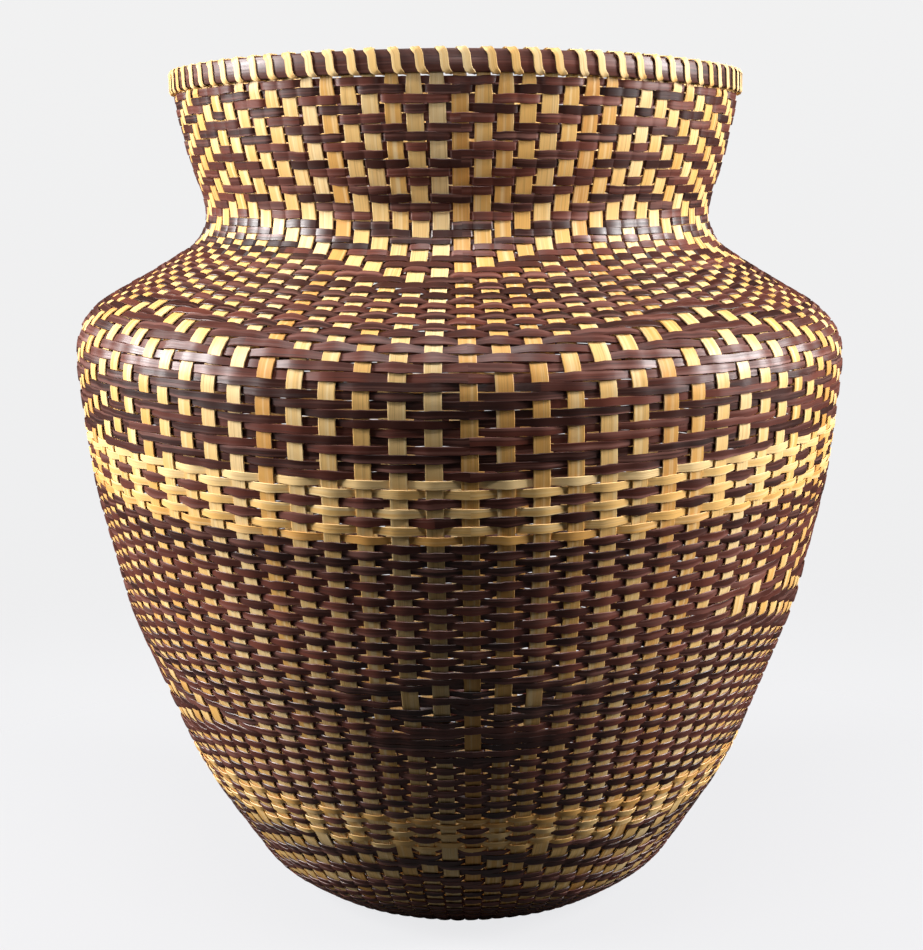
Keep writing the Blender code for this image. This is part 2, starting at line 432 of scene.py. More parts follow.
def sweep(points, normals, lifts, widths, thicknesses, section, closed):
    """Corners of a strip along points, with its flat side facing the normals."""
    points = points + unit(normals) * lifts[:, None]
    if closed:
        along = np.roll(points, -1, 0) - np.roll(points, 1, 0)
    else:
        along = np.gradient(points, axis=0)
    along = unit(along)
    across = unit(np.cross(along, normals))
    facing = np.cross(across, along)
    sideways = section[:, 0][None, :, None] * widths[:, None, None] / 2
    outward = section[:, 1][None, :, None] * thicknesses[:, None, None] / 2
    return points[:, None, :] + across[:, None, :] * sideways + facing[:, None, :] * outward


def wave(turns, size, places):
    """Slow uneven drift, the same at both ends of a full turn."""
    total = np.zeros(len(places))
    for n in turns:
        total += np.sin(n * places + rng.uniform(0, 2 * math.pi)) / len(turns)
    return size * total


def bake_folds(count, length, girth):
    """How many folds keep a strip's texels about square when strips share one square."""
    return max(1, int(round(math.sqrt(length / (count * girth)))))


class Piece:
    """Gathers strips and makes one mesh object of them."""

    def __init__(self, name, material, slot, nodes):
        self.name, self.material, self.slot, self.nodes = name, material, slot, nodes
        self.strips = []

    def add(self, corners, section, widths, closed, tones, seed):
        self.strips.append((corners, section, widths, closed, tones, seed))

    def build(self, sharp=28):
        all_points, all_quads, grain, baked, tone_values, seeds, caps = [], [], [], [], [], [], []
        base = 0
        first = self.strips[0]
        length = np.linalg.norm(np.diff(first[0][:, 0], axis=0), axis=1).sum()
        girth = GIRTH_PER_WIDTH * float(first[2].mean())
        folds = bake_folds(len(self.strips), length, girth)
        total_folds = folds * len(self.strips)
        for number, (corners, section, widths, closed, tones, seed) in enumerate(self.strips):
            stations, sides = corners.shape[:2]
            spans = stations if closed else stations - 1
            i, j = np.meshgrid(np.arange(spans), np.arange(sides), indexing="ij")
            i2, j2 = (i + 1) % stations, (j + 1) % sides
            quads = np.stack([i * sides + j, i * sides + j2, i2 * sides + j2, i2 * sides + j], -1)
            all_quads.append(quads.reshape(-1, 4) + base)
            all_points.append(corners.reshape(-1, 3))
            middle = corners.mean(1)
            steps = np.linalg.norm(np.roll(middle, -1, 0) - middle, axis=1)
            run = np.concatenate([[0], np.cumsum(steps)])
            side = section[:, 0] * 0.5 * float(widths.mean()) + section[:, 1] * 0.05 * MM
            u = np.stack([run[i], run[i], run[i + 1], run[i + 1]], -1)
            v = np.stack([side[j], side[j2], side[j2], side[j]], -1)
            grain.append(np.stack([u, v], -1).reshape(-1, 2))
            fold = (i * folds) // spans
            start = np.ceil(fold * spans / folds)
            size = np.ceil((fold + 1) * spans / folds) - start
            u0, u1 = (i - start) / size, (i + 1 - start) / size
            shelf = number * folds + fold
            v0 = (shelf + SHELF_GAP + SHELF_USED * j / sides) / total_folds
            v1 = (shelf + SHELF_GAP + SHELF_USED * (j + 1) / sides) / total_folds
            bu = END_GAP + END_USED * np.stack([u0, u0, u1, u1], -1)
            baked.append(np.stack([bu, np.stack([v0, v1, v1, v0], -1)], -1).reshape(-1, 2))
            tone_values.append(np.repeat(tones[i].reshape(-1), 4))
            seeds.append(np.full(quads.size, seed))
            if not closed:
                last = (stations - 1) * sides
                caps.append((np.arange(sides)[::-1] + base, seed, tones[0]))
                caps.append((np.arange(sides) + last + base, seed, tones[-1]))
            base += stations * sides
        quads = np.concatenate(all_quads)
        loops = [quads.reshape(-1)]
        starts = [np.arange(len(quads)) * 4]
        at = quads.size
        for ring, seed, tone in caps:
            loops.append(ring)
            starts.append(np.array([at]))
            at += len(ring)
            grain.append(np.tile([[0.0, 0.0]], (len(ring), 1)))
            baked.append(np.tile([[0.001, 0.001]], (len(ring), 1)))
            tone_values.append(np.full(len(ring), tone))
            seeds.append(np.full(len(ring), seed))
        points = np.concatenate(all_points)
        lean = np.interp(points[:, 2], LEAN_HEIGHTS, LEAN_SLOPES) * points[:, 0]
        sag = np.interp(points[:, 2], SAG_HEIGHTS, SAG_SHARES) * points[:, 0] ** 2
        points[:, 2] -= lean + sag
        loops = np.concatenate(loops).astype(np.int32)
        starts = np.concatenate(starts).astype(np.int32)
        mesh = bpy.data.meshes.new(self.name)
        mesh.vertices.add(len(points))
        mesh.vertices.foreach_set("co", points.astype(np.float32).reshape(-1))
        mesh.loops.add(len(loops))
        mesh.loops.foreach_set("vertex_index", loops)
        mesh.polygons.add(len(starts))
        mesh.polygons.foreach_set("loop_start", starts)
        mesh.update(calc_edges=True)
        mesh.validate()
        for layer, values in (("OFBake", baked), ("Grain", grain)):
            flat = np.concatenate(values).astype(np.float32).reshape(-1)
            mesh.uv_layers.new(name=layer).data.foreach_set("uv", flat)
        for label, values in (("tone", tone_values), ("seed", seeds)):
            flat = np.concatenate(values).astype(np.float32)
            mesh.attributes.new(label, "FLOAT", "CORNER").data.foreach_set("value", flat)
        mesh.shade_smooth()
        mesh.set_sharp_from_angle(angle=math.radians(sharp))
        mesh.materials.append(self.material)
        made = bpy.data.objects.new(self.name, mesh)
        bpy.context.scene.collection.objects.link(made)
        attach(made, "root")
        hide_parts(*self.nodes)
        return made


# Materials

def splint_material(name, tones, fibre_dark, fibre_light, edge, roughness, shine, grain_depth, width):
    """Split wood: a tone for each splint, long fine fibres, slow mottling and worn edges."""
    material = bpy.data.materials.new(name)
    material.use_nodes = True
    tree = material.node_tree
    shader = tree.nodes["Principled BSDF"]
    shader.inputs["Specular IOR Level"].default_value = shine

    def node(kind, **settings):
        made = tree.nodes.new(kind)
        for key, value in settings.items():
            setattr(made, key, value)
        return made

    def link(start, end):
        tree.links.new(start, end)

    def noise(scale, detail, rough):
        made = node("ShaderNodeTexNoise", noise_dimensions="3D")
        made.inputs["Scale"].default_value = scale
        made.inputs["Detail"].default_value = detail
        made.inputs["Roughness"].default_value = rough
        return made

    def spread(source, low, high, to_low=0.0, to_high=1.0):
        made = node("ShaderNodeMapRange")
        for key, value in (("From Min", low), ("From Max", high), ("To Min", to_low), ("To Max", to_high)):
            made.inputs[key].default_value = value
        link(source, made.inputs["Value"])
        return made.outputs["Result"]

    def mix(factor, first, second):
        made = node("ShaderNodeMix", data_type="RGBA")
        for socket, value in ((made.inputs[0], factor), (made.inputs[6], first), (made.inputs[7], second)):
            if isinstance(value, (tuple, float)):
                socket.default_value = (*value, 1.0) if isinstance(value, tuple) else value
            else:
                link(value, socket)
        return made.outputs[2]

    uv = node("ShaderNodeUVMap", uv_map="Grain")
    split = node("ShaderNodeSeparateXYZ")
    link(uv.outputs["UV"], split.inputs[0])
    seed = node("ShaderNodeAttribute", attribute_type="GEOMETRY", attribute_name="seed")
    tone = node("ShaderNodeAttribute", attribute_type="GEOMETRY", attribute_name="tone")

    def stretched(along, across):
        parts = []
        for source, scale in ((split.outputs["X"], along), (split.outputs["Y"], across)):
            times = node("ShaderNodeMath", operation="MULTIPLY")
            times.inputs[1].default_value = scale
            link(source, times.inputs[0])
            parts.append(times.outputs[0])
        joined = node("ShaderNodeCombineXYZ")
        link(parts[0], joined.inputs[0])
        link(parts[1], joined.inputs[1])
        link(seed.outputs["Fac"], joined.inputs[2])
        return joined.outputs[0]

    fibre = noise(1.0, 3.0, 0.55)
    link(stretched(22.0, 1500.0), fibre.inputs["Vector"])
    streak = noise(1.0, 2.0, 0.5)
    link(stretched(7.0, 420.0), streak.inputs["Vector"])
    mottle = noise(1.0, 2.0, 0.6)
    link(stretched(14.0, 60.0), mottle.inputs["Vector"])

    ramp = node("ShaderNodeValToRGB")
    points = ramp.color_ramp.elements
    points[0].position, points[0].color = 0.0, (*tones[0], 1.0)
    points[1].position, points[1].color = 1.0, (*tones[-1], 1.0)
    for k, colour in enumerate(tones[1:-1], 1):
        points.new(k / (len(tones) - 1)).color = (*colour, 1.0)
    shift = node("ShaderNodeMath", operation="ADD")
    link(tone.outputs["Fac"], shift.inputs[0])
    link(spread(mottle.outputs["Fac"], 0.3, 0.7, -0.14, 0.14), shift.inputs[1])
    link(shift.outputs[0], ramp.inputs["Fac"])

    colour = mix(spread(fibre.outputs["Fac"], 0.52, 0.74, 0.0, 0.75), ramp.outputs["Color"], fibre_dark)
    colour = mix(spread(streak.outputs["Fac"], 0.50, 0.74, 0.0, 0.7), colour, fibre_light)
    half = node("ShaderNodeMath", operation="ABSOLUTE")
    link(split.outputs["Y"], half.inputs[0])
    worn = spread(half.outputs[0], width / 2 - 0.5 * MM, width / 2, 0.0, 0.6)
    colour = mix(worn, colour, edge)
    link(colour, shader.inputs["Base Color"])
    gloss = spread(fibre.outputs["Fac"], 0.3, 0.7, roughness - 0.07, roughness + 0.1)
    link(gloss, shader.inputs["Roughness"])
    bump = node("ShaderNodeBump")
    bump.inputs["Strength"].default_value = 0.5
    bump.inputs["Distance"].default_value = grain_depth
    link(fibre.outputs["Fac"], bump.inputs["Height"])
    link(bump.outputs["Normal"], shader.inputs["Normal"])
    return material


# Tones from the palest splint to the darkest for natural ones, and the other way round for dyed ones
NATURAL_TONES = ((0.82, 0.59, 0.29), (0.80, 0.51, 0.19), (0.75, 0.42, 0.12), (0.62, 0.29, 0.07))
DYED_TONES = ((0.020, 0.005, 0.003), (0.052, 0.013, 0.008), (0.094, 0.024, 0.015), (0.155, 0.043, 0.027))
NATURAL_LOOK = {
    "tones": NATURAL_TONES,
    "fibre_dark": (0.46, 0.25, 0.08),
    "fibre_light": (0.90, 0.71, 0.40),
    "edge": (0.93, 0.74, 0.43),
    "roughness": 0.45,
    "shine": 0.3,
    "grain_depth": 0.18 * MM,
}
DYED_LOOK = {
    "tones": DYED_TONES,
    "fibre_dark": (0.010, 0.004, 0.004),
    "fibre_light": (0.270, 0.120, 0.095),
    "edge": (0.090, 0.030, 0.021),
    "roughness": 0.40,
    "shine": 0.4,
    "grain_depth": 0.16 * MM,
}
NATURAL = splint_material("natural_splint_wood", width=WEFT_WIDTH, **NATURAL_LOOK)
STAKE_WOOD = splint_material("natural_stake_wood", width=STAKE_WIDTH, **NATURAL_LOOK)
DYED = splint_material("dyed_splint_wood", width=WEFT_WIDTH, **DYED_LOOK)


# Weft rows

def over_widths(number):
    """Width of a row where it passes over each stake, and its shift down the wall, in row pitches."""
    over = ROWS[number]["over"]
    above = ROWS[number - 1]["over"] if number else over
    below = ROWS[number + 1]["over"] if number + 1 < len(ROWS) else over
    alone = ~above & ~below & ROWS[number]["dyed"]
    free = np.where(alone, HALF_BETWEEN_STAKES, HALF_IN_TWILL)
    up = np.where(above, HALF_BESIDE_WEFT, free)
    down = np.where(below, HALF_BESIDE_WEFT, free)
    return up + down, (down - up) / 2


def weft_strip(number):
    """One woven ring, arched over a stake and diving between stakes where the next is in front."""
    row = ROWS[number]
    radius = float(np.interp(row["arc"], ARC, LINE[:, 0]))
    stake_angles = (np.arange(COLUMNS) + 0.5) * COLUMN
    spacing = radius * COLUMN * stake_closeness(row["arc"], stake_angles)
    edge = np.minimum(FARTHEST_EDGE, (STAKE_WIDTH / 2 + STAKE_CLEARANCE) / spacing)
    over = row["over"]
    following = np.roll(over, -1)
    same = over == following
    sign = np.where(over, 1.0, -1.0)
    next_sign = np.where(following, 1.0, -1.0)
    inner = INSIDE_EDGE * edge
    next_edge, next_inner = np.roll(edge, -1), np.roll(inner, -1)
    phases = np.stack([0 * edge, inner, edge, 0 * edge + 0.5, 1 - next_edge, 1 - next_inner], 1)
    count = phases.shape[1]
    slope = (WEFT_CREST + WEFT_SHOULDER) / 2
    lift_inside = np.where(same, WEFT_CREST, slope + WEFT_BULGE)
    lift_at_edge = np.where(same, slope, WEFT_SHOULDER)
    lifts = np.stack(
        [
            WEFT_CREST * sign,
            lift_inside * sign,
            lift_at_edge * sign,
            np.where(same, WEFT_SHOULDER * sign, 0.0),
            lift_at_edge * next_sign,
            lift_inside * next_sign,
        ],
        1,
    )
    full, shift = over_widths(number)
    at_stake = np.where(over, full, WIDTH_UNDER)
    at_next = np.roll(at_stake, -1)
    between = np.where(same, WIDTH_FLOATING, WIDTH_TURNING)
    shares = np.stack(
        [
            at_stake,
            WIDTH_KEPT_INSIDE * at_stake + (1 - WIDTH_KEPT_INSIDE) * between,
            WIDTH_KEPT_AT_EDGE * at_stake + (1 - WIDTH_KEPT_AT_EDGE) * between,
            between,
            WIDTH_KEPT_AT_EDGE * at_next + (1 - WIDTH_KEPT_AT_EDGE) * between,
            WIDTH_KEPT_INSIDE * at_next + (1 - WIDTH_KEPT_INSIDE) * between,
        ],
        1,
    )
    shifts = np.where(over, shift, 0.0)
    next_shifts = np.roll(shifts, -1)
    moved = np.stack(
        [
            shifts,
            SHIFT_KEPT_INSIDE * shifts,
            SHIFT_KEPT_AT_EDGE * shifts,
            0 * shifts,
            SHIFT_KEPT_AT_EDGE * next_shifts,
            SHIFT_KEPT_INSIDE * next_shifts,
        ],
        1,
    )
    angles = ((np.arange(COLUMNS)[:, None] + phases).reshape(-1) + 0.5) * COLUMN
    pitch = row["pitch"]
    amount = 1 + np.repeat(rng.uniform(-UNEVEN_CREST, UNEVEN_CREST, COLUMNS), count)
    drift = wave((2, 3, 7), SLOW_DRIFT * pitch, angles)
    drift += np.repeat(rng.normal(0, STAKE_TO_STAKE_DRIFT * pitch, COLUMNS), count)
    drift += moved.reshape(-1) * pitch
    points, normals = wall_frame(row["arc"] + drift, angles)
    widths = pitch * rng.uniform(0.97, 1.02) * shares.reshape(-1)
    widths *= 1 + wave((3, 5, 11), UNEVEN_WIDTH, angles)
    widths *= row_closeness(row["arc"], angles)
    depths = lifts.reshape(-1) * amount - WALL_DEPTH
    thicknesses = np.full(len(angles), WEFT_THICKNESS)
    corners = sweep(points, normals, depths, widths, thicknesses, WEFT_SECTION, True)
    joint = int(rng.integers(0, COLUMNS))
    second = (joint + int(rng.integers(*JOINT_COLUMNS))) % COLUMNS
    column = np.arange(COLUMNS)
    between_joints = (column >= min(joint, second)) & (column < max(joint, second))
    tones = np.repeat(np.where(between_joints, rng.uniform(0.1, 0.9), rng.uniform(0.1, 0.9)), count)
    return corners, widths, tones


def node_of(arc):
    """The CAD node whose heights take in this arc."""
    height = float(np.interp(arc, ARC, LINE[:, 1]))
    for name in WALL_NODES:
        if height >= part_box(name)[0].z:
            return name
    return WALL_NODES[-1]


def add_wefts():
    made = {}
    for number, row in enumerate(ROWS):
        node = node_of(row["arc"])
        key = (node, row["dyed"])
        if key not in made:
            kind = "dyed" if row["dyed"] else "natural"
            material, slot = (DYED, "dyed_splint") if row["dyed"] else (NATURAL, "natural_splint")
            made[key] = Piece(f"{node}_{kind}_rows", material, slot, [node])
        corners, widths, tones = weft_strip(number)
        made[key].add(corners, WEFT_SECTION, widths, True, tones, rng.uniform(0, 60))
    for piece in made.values():
        piece.build()


# Stakes, each a single splint from rim to rim across the floor

def floor_pitch():
    """Distance between stakes where they cross on the floor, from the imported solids."""
    beside_middle = "stake_lengthwise_11"
    points = node_points(beside_middle)
    low = points[points[:, 2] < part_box(beside_middle)[0].z + 1.2 * MM]
    here = (low[:, 0].min() + low[:, 0].max()) / 2
    return abs(here) * 2


FLOOR_PITCH = floor_pitch()
RIM_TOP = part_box("rim_outer_hoop")[1].z


def rim_stations():
    """Arcs of the stake's tip, from its end down to the first weft row."""
    tip = RIM_TOP - WEAVE_TOP - TIP_BELOW_RIM_TOP
    return -np.linspace(tip, TIP_BOTTOM, TIP_STATIONS)


def to_front(vectors, crosswise, back):
    """Wall points or directions of a stake turned to where the front half of a lengthwise one lies."""
    if crosswise:
        vectors = np.stack([vectors[:, 1], -vectors[:, 0], vectors[:, 2]], -1)
    if back:
        vectors = vectors * np.array((1.0, -1.0, 1.0))
    return vectors


def half_stake(place, column, crosswise, back):
    """Half a through splint from its tip to the floor, turned to the front of the basket."""
    angle = place * COLUMN
    over = OVER[:, column]
    lift = np.where(over, -STAKE_LIFT - STAKE_TUCK, STAKE_LIFT)
    tip = rim_stations()
    arcs = np.concatenate([tip, ROW_ARCS])
    lifts = np.concatenate([np.full(len(tip), -TIP_DEPTH), lift]) - WALL_DEPTH
    drift = wave((1.0, 2.3), STAKE_WANDER, arcs * 9.0)
    true_angle = (column + 0.5) * COLUMN
    points, normals = wall_frame(arcs, np.full(len(arcs), true_angle))
    points, normals = to_front(points, crosswise, back), to_front(normals, crosswise, back)
    side = np.array((math.cos(angle), math.sin(angle), 0.0))
    points = points + side[None, :] * drift[:, None]
    spacing = np.hypot(points[:, 0], points[:, 1]) * COLUMN * stake_closeness(arcs, true_angle)
    nominal = STAKE_WIDTH * rng.uniform(0.95, 1.04)
    widths = np.minimum(nominal, spacing - ROOM_BESIDE_STAKE)
    widths *= np.interp(arcs, TIP_TAPER_ARCS, TIP_TAPER_WIDTHS)
    offset = place * FLOOR_PITCH
    edge = points[-1]
    start = np.array((offset, -math.sqrt(STRAIGHT_FROM**2 - offset**2), 0.0))
    inward = -unit(edge * np.array((1.0, 1.0, 0.0)))
    forward = np.array((0.0, 1.0, 0.0))
    reach = np.linalg.norm(start - edge)
    share = np.linspace(0, 1, 7)[1:-1][:, None]
    curve = (
        (2 * share**3 - 3 * share**2 + 1) * edge
        + (share**3 - 2 * share**2 + share) * inward * reach
        + (3 * share**2 - 2 * share**3) * start
        + (share**3 - share**2) * forward * reach
    )
    turn = np.clip(share * 3, 0, 1)
    bend = unit((1 - turn) * normals[-1] + turn * np.array((0.0, 0.0, -1.0)))
    on_floor = min(widths[-1], FLOOR_PITCH - ROOM_ON_FLOOR)
    points = np.concatenate([points, curve])
    normals = np.concatenate([normals, bend])
    lifts = np.concatenate([lifts, np.full(len(curve), -WALL_DEPTH)])
    widths = np.concatenate([widths, np.linspace(widths[-1], on_floor, len(curve))])
    return points, normals, lifts, widths


def floor_run(place, parity):
    """Straight part over the floor, passing over and under the splints that cross it."""
    middle = (SPLINTS_EACH_WAY - 1) / 2
    offset = place * FLOOR_PITCH
    end = math.sqrt(STRAIGHT_FROM**2 - offset**2)
    crossings = (np.arange(SPLINTS_EACH_WAY) - middle) * FLOOR_PITCH
    signs = np.where((np.arange(SPLINTS_EACH_WAY) + parity) % 2 == 0, 1.0, -1.0)
    half = HALF_CROSSING * FLOOR_PITCH
    places = [-end, *[p for c in crossings for p in (c - half, c + half)], end]
    lifts = [0.0, *np.repeat(signs, 2), 0.0]
    points = np.array([(offset, p, 0.0) for p in places])
    return points, np.array(lifts) * BASE_LIFT


def through_splint(i, crosswise):
    """A whole stake. Crosswise ones are the lengthwise ones turned a quarter round.

    The turn reverses the order of the crossings, so the same parity puts them on opposite sides.
    """
    place = i - (SPLINTS_EACH_WAY - 1) / 2
    quarter = COLUMNS // 4 if crosswise else 0
    near = (i - SPLINTS_EACH_WAY // 2 + quarter) % COLUMNS
    far = (COLUMNS // 2 - 1 - (i - SPLINTS_EACH_WAY // 2) + quarter) % COLUMNS
    front = half_stake(place, near, crosswise, False)
    back = half_stake(place, far, crosswise, True)
    middle, middle_lifts = floor_run(place, i)
    floor_z = float(LINE[-1, 1])
    middle[:, 2] = floor_z
    flip = np.array((1.0, -1.0, 1.0))
    points = np.concatenate([front[0], middle, (back[0] * flip)[::-1]])
    down = np.tile((0.0, 0.0, -1.0), (len(middle), 1))
    normals = np.concatenate([front[1], down, (back[1] * flip)[::-1]])
    lifts = np.concatenate([front[2], middle_lifts - WALL_DEPTH, back[2][::-1]])
    widths = np.concatenate([front[3], np.full(len(middle), front[3][-1]), back[3][::-1]])
    if crosswise:
        points = np.stack([-points[:, 1], points[:, 0], points[:, 2]], -1)
        normals = np.stack([-normals[:, 1], normals[:, 0], normals[:, 2]], -1)
    return points, normals, lifts, widths


def add_stakes():
    for crosswise, kind in ((False, "lengthwise"), (True, "crosswise")):
        for i in range(SPLINTS_EACH_WAY):
            points, normals, lifts, widths = through_splint(i, crosswise)
            thicknesses = np.full(len(points), STAKE_THICKNESS)
            corners = sweep(points, normals, lifts, widths, thicknesses, STAKE_SECTION, False)
            name = f"stake_{kind}_{i + 1:02d}"
            piece = Piece(name + "_splint", STAKE_WOOD, "natural_splint", [name])
            tone = rng.uniform(0.05, 0.95)
            tones = np.clip(tone + wave((1, 3), 0.12, np.linspace(0, 6, len(points))), 0, 1)
            piece.add(corners, STAKE_SECTION, widths, False, tones, rng.uniform(0, 60))
            piece.build(sharp=25)


# Floor filling between the crossing splints and the lowest ring rows

def add_floor_fillers():
    """Short dyed splints woven across the parallel stakes outside the square of crossings."""
    piece = Piece("floor_filling_splints", DYED, "dyed_splint", ["base_weave"])
    middle = (SPLINTS_EACH_WAY - 1) / 2
    first = (middle + 0.5) * FLOOR_PITCH + FILLER_GAP
    k = 0
    while first + (k + 0.5) * FILLER_STEP < FILLER_RING - 3 * MM:
        distance = first + (k + 0.5) * FILLER_STEP
        half = math.sqrt(FILLER_RING**2 - distance**2)
        held = [c for c in range(SPLINTS_EACH_WAY) if abs(c - middle) * FLOOR_PITCH < half - 2 * MM]
        for quarter in range(4):
            places = [-half]
            lifts = [0.0]
            for c in held:
                up = 1.0 if (c + k) % 2 == 0 else -1.0
                for side in (-HALF_CROSSING, HALF_CROSSING):
                    places.append((c - middle + side) * FLOOR_PITCH)
                    lifts.append(up * BASE_LIFT)
            places.append(half)
            lifts.append(0.0)
            points = np.array([(p, -distance, float(LINE[-1, 1])) for p in places])
            for _ in range(quarter):
                points = np.stack([-points[:, 1], points[:, 0], points[:, 2]], -1)
            normals = np.tile((0.0, 0.0, -1.0), (len(points), 1))
            widths = np.full(len(points), FILLER_WIDTH)
            thicknesses = np.full(len(points), WEFT_THICKNESS)
            depths = np.array(lifts) - WALL_DEPTH
            corners = sweep(points, normals, depths, widths, thicknesses, WEFT_SECTION, False)
            tones = np.full(len(points), rng.uniform(0.1, 0.9))
            piece.add(corners, WEFT_SECTION, widths, False, tones, rng.uniform(0, 60))
        k += 1
    piece.build()


# Rim

def hoop_span(name):
    """Inner and outer distance to the flats, bottom and top of a packed hoop."""
    points = node_points(name)
    flats = np.hypot(points[:, 0], points[:, 1]) * math.cos(HALF_FACET)
    return float(flats.min()), float(flats.max()), float(points[:, 2].min()), float(points[:, 2].max())


def add_hoop(name, material, slot):
    """A bent flat splint hoop with the edges of its outer face rounded a little."""
    low_r, high_r, bottom, top = hoop_span(name)
    outer = name == "rim_outer_hoop"
    turns = 4 * COLUMNS
    angles = np.arange(turns) * 2 * math.pi / turns
    middle = (low_r + high_r) / 2 + wave((3, 8), HOOP_WANDER, angles)
    height = (bottom + top) / 2 + wave((2, 5), HOOP_SWAY, angles)
    points = np.stack([middle * np.sin(angles), -middle * np.cos(angles), height], -1)
    way = 1.0 if outer else -1.0
    normals = np.stack([way * np.sin(angles), -way * np.cos(angles), np.zeros(turns)], -1)
    half_section = [(1.0, -1.0), (1.0, 0.35), (0.97, 0.75), (0.90, 1.0)]
    section = np.array([(-across, depth) for across, depth in half_section] + half_section[::-1])
    widths = (top - bottom) * (1 + wave((4, 9), 0.02, angles))
    thicknesses = np.full(turns, high_r - low_r)
    corners = sweep(points, normals, np.zeros(turns), widths, thicknesses, section, True)
    piece = Piece(name + "_splint", material, slot, [name])
    tones = np.clip(0.45 + wave((1, 2, 5), 0.5, angles), 0, 1)
    piece.add(corners, section, widths, True, tones, rng.uniform(0, 60))
    piece.build(sharp=50)


def add_lashing():
    """One natural strip wound round both hoops, a turn to each gap between stakes."""
    outer = hoop_span("rim_outer_hoop")
    inner = hoop_span("rim_inner_hoop")
    centre = np.array(((outer[1] + inner[0]) / 2, (outer[2] + outer[3]) / 2))
    half = np.array(((outer[1] - inner[0]) / 2, (outer[3] - outer[2]) / 2)) + LASHING_CLEARANCE
    count = COLUMNS * LASHING_STEPS
    turn = np.arange(count) / LASHING_STEPS
    cycle = turn % 1.0
    theta = -math.pi / 2 - 2 * math.pi * cycle
    power = 2 / LASHING_SQUARENESS
    out = np.sign(np.cos(theta)) * np.abs(np.cos(theta)) ** power
    up = np.sign(np.sin(theta)) * np.abs(np.sin(theta)) ** power
    radius = centre[0] + half[0] * out
    height = centre[1] + half[1] * up
    slant = np.interp(cycle, SLANT_AT, SLANTS)
    wander = np.repeat(rng.uniform(-LASHING_WANDER, LASHING_WANDER, COLUMNS), LASHING_STEPS)
    reach = 8
    window = 2 * reach + 1
    wander = np.convolve(np.pad(wander, reach, mode="wrap"), np.ones(window) / window, "valid")
    angles = (np.floor(turn) + slant + wander) * COLUMN
    points = np.stack([radius * np.sin(angles), -radius * np.cos(angles), height], -1)
    grad_out = np.sign(out) * np.abs(out) ** (LASHING_SQUARENESS - 1) / half[0]
    grad_up = np.sign(up) * np.abs(up) ** (LASHING_SQUARENESS - 1) / half[1]
    size = np.hypot(grad_out, grad_up)
    grad_out, grad_up = grad_out / size, grad_up / size
    normals = np.stack([grad_out * np.sin(angles), -grad_out * np.cos(angles), grad_up], -1)
    below = height < centre[1] - 0.8 * half[1]
    widths = LASHING_WIDTH * (1 + wave((5, 13), 0.05, angles)) * np.where(below, LASHING_WIDTH_BELOW, 1.0)
    thicknesses = np.full(count, LASHING_THICKNESS)
    corners = sweep(points, normals, np.zeros(count), widths, thicknesses, WEFT_SECTION, True)
    piece = Piece("rim_lashing_strip", NATURAL, "natural_splint", ["rim_lashing"])
    tones = np.repeat(rng.uniform(0.0, 0.6, COLUMNS), LASHING_STEPS)
    piece.add(corners, WEFT_SECTION, widths, True, tones, rng.uniform(0, 60))
    piece.build()


add_wefts()
add_stakes()
add_floor_fillers()
add_hoop("rim_outer_hoop", DYED, "dyed_splint")
add_hoop("rim_inner_hoop", DYED, "dyed_splint")
add_lashing()


# Floor, light and camera

def add_floor():
    """A pale floor that keeps the shadow near the basket and fades into the backdrop further out."""
    mesh = bpy.data.meshes.new("studio_floor")
    size = 6.0
    corners = [(-size, -size, 0), (size, -size, 0), (size, size, 0), (-size, size, 0)]
    mesh.from_pydata(corners, [], [(0, 1, 2, 3)])
    floor = bpy.data.objects.new("studio_floor", mesh)
    bpy.context.scene.collection.objects.link(floor)
    material = bpy.data.materials.new("pale_floor")
    material.use_nodes = True
    tree = material.node_tree
    tree.nodes.clear()
    out = tree.nodes.new("ShaderNodeOutputMaterial")
    matte = tree.nodes.new("ShaderNodeBsdfDiffuse")
    matte.inputs["Color"].default_value = (0.055, 0.055, 0.055, 1.0)
    glow = tree.nodes.new("ShaderNodeEmission")
    glow.inputs["Color"].default_value = (0.785, 0.785, 0.80, 1.0)
    path = tree.nodes.new("ShaderNodeLightPath")
    added = tree.nodes.new("ShaderNodeAddShader")
    tree.links.new(path.outputs["Is Camera Ray"], glow.inputs["Strength"])
    tree.links.new(matte.outputs[0], added.inputs[0])
    tree.links.new(glow.outputs[0], added.inputs[1])
    place = tree.nodes.new("ShaderNodeNewGeometry")
    distance = tree.nodes.new("ShaderNodeVectorMath")
    distance.operation = "LENGTH"
    fade = tree.nodes.new("ShaderNodeMapRange")
    fade.interpolation_type = "SMOOTHSTEP"
    fade.inputs["From Min"].default_value = 0.32
    fade.inputs["From Max"].default_value = 0.95
    clear = tree.nodes.new("ShaderNodeBsdfTransparent")
    chosen = tree.nodes.new("ShaderNodeMixShader")
    tree.links.new(place.outputs["Position"], distance.inputs[0])
    tree.links.new(distance.outputs["Value"], fade.inputs["Value"])
    tree.links.new(fade.outputs["Result"], chosen.inputs[0])
    tree.links.new(added.outputs[0], chosen.inputs[1])
    tree.links.new(clear.outputs[0], chosen.inputs[2])
    tree.links.new(chosen.outputs[0], out.inputs["Surface"])
    mesh.materials.append(material)


